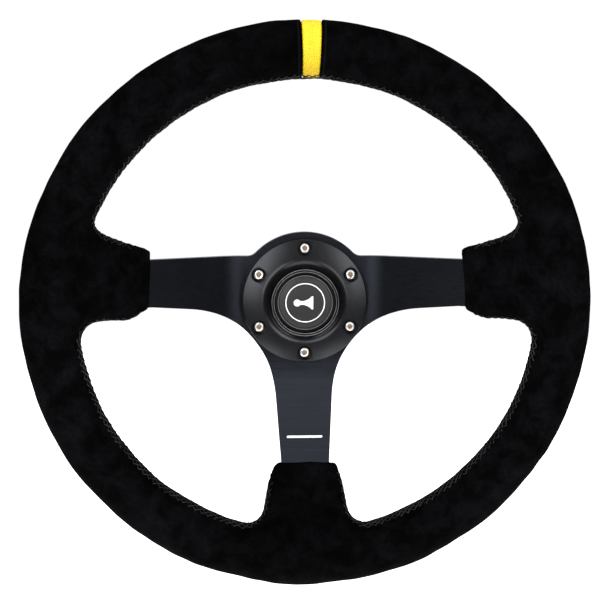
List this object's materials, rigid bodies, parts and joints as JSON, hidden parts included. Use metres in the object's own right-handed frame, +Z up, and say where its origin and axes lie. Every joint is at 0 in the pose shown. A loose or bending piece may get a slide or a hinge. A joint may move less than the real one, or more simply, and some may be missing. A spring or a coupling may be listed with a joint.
{
  "type": "quick release steering wheel",
  "caption": "Deep-dish three-spoke steering wheel with suede grip, top centre stripe, sprung horn push and the wheel half of a ball-lock quick-release coupler.",
  "frame": {"origin": "on the wheel's axis, in the rear end face of the coupler, where the column-side hub enters", "axes": "+Z up with the centre stripe at the top, +Y along the axis towards the steering column, so the driver is on the -Y side, +X to the driver's right"},
  "size_m": [0.35, 0.1228, 0.35],
  "materials": {
    "satin_black": "satin",
    "rim_steel": "dull",
    "foam": "matte",
    "suede": "napped suede",
    "stripe_leather": "grained",
    "black_anodised": "turned and anodised",
    "black_plastic": "satin",
    "rubber": "matte",
    "emblem_print": "printed",
    "brass": "bright",
    "spring_steel": "bright",
    "coupler_black": "anodised",
    "hardened_steel": "ground",
    "nylon": "matte",
    "collar_black": "anodised",
    "bolt_steel": "polished",
    "ball_steel": "polished"
  },
  "bodies": {
    "wheel": {"spoke_frame": "satin_black", "rim_core": "rim_steel", "grip_foam": "foam", "grip_suede": "suede", "centre_stripe": "stripe_leather", "horn_ring": "black_anodised", "horn_housing": "black_plastic", "horn_gasket": "rubber", "horn_contact_fixed": "brass", "horn_spring": "spring_steel", "horn_terminal_live": "brass", "horn_terminal_earth": "brass", "coupler_body": "coupler_black", "drive_spline": "hardened_steel", "contact_insulator": "nylon", "contact_pin_live": "brass", "contact_pin_earth": "brass", "collar_spring": "spring_steel", "collar_circlip": "hardened_steel", "mouth_seal": "rubber", "wheel_bolt_1": "bolt_steel", "wheel_bolt_2": "bolt_steel", "wheel_bolt_3": "bolt_steel", "wheel_bolt_4": "bolt_steel", "wheel_bolt_5": "bolt_steel", "wheel_bolt_6": "bolt_steel"},
    "horn_push": {"horn_cap": "black_plastic", "horn_emblem": "emblem_print", "horn_contact_moving": "brass"},
    "collar": {"release_collar": "collar_black"},
    "ball_1": {"lock_ball_1": "ball_steel"},
    "ball_2": {"lock_ball_2": "ball_steel"},
    "ball_3": {"lock_ball_3": "ball_steel"},
    "ball_4": {"lock_ball_4": "ball_steel"},
    "ball_5": {"lock_ball_5": "ball_steel"},
    "ball_6": {"lock_ball_6": "ball_steel"}
  },
  "joints": [
    {"name": "horn_press", "type": "slide", "parent": "wheel", "child": "horn_push", "axis": [0, 1, 0], "range_m": [0, 0.002], "stiffness_N_per_m": 1500, "springref_m": -0.002, "deforming": ["horn_spring"]},
    {"name": "collar_pull", "type": "slide", "parent": "wheel", "child": "collar", "axis": [0, -1, 0], "range_m": [0, 0.008], "stiffness_N_per_m": 1500, "springref_m": -0.004, "deforming": ["collar_spring"]},
    {"name": "ball_1_release", "type": "slide", "parent": "wheel", "child": "ball_1", "axis": [0, 0, 1], "range_m": [0, 0.00225]},
    {"name": "ball_2_release", "type": "slide", "parent": "wheel", "child": "ball_2", "axis": [-0.866, 0, 0.5], "range_m": [0, 0.00225]},
    {"name": "ball_3_release", "type": "slide", "parent": "wheel", "child": "ball_3", "axis": [-0.866, 0, -0.5], "range_m": [0, 0.00225]},
    {"name": "ball_4_release", "type": "slide", "parent": "wheel", "child": "ball_4", "axis": [0, 0, -1], "range_m": [0, 0.00225]},
    {"name": "ball_5_release", "type": "slide", "parent": "wheel", "child": "ball_5", "axis": [0.866, 0, -0.5], "range_m": [0, 0.00225]},
    {"name": "ball_6_release", "type": "slide", "parent": "wheel", "child": "ball_6", "axis": [0.866, 0, 0.5], "range_m": [0, 0.00225]}
  ],
  "couplings": [
    {"joint": "ball_1_release", "follows": "collar_pull", "ratio": 0.275},
    {"joint": "ball_2_release", "follows": "collar_pull", "ratio": 0.275},
    {"joint": "ball_3_release", "follows": "collar_pull", "ratio": 0.275},
    {"joint": "ball_4_release", "follows": "collar_pull", "ratio": 0.275},
    {"joint": "ball_5_release", "follows": "collar_pull", "ratio": 0.275},
    {"joint": "ball_6_release", "follows": "collar_pull", "ratio": 0.275}
  ]
}
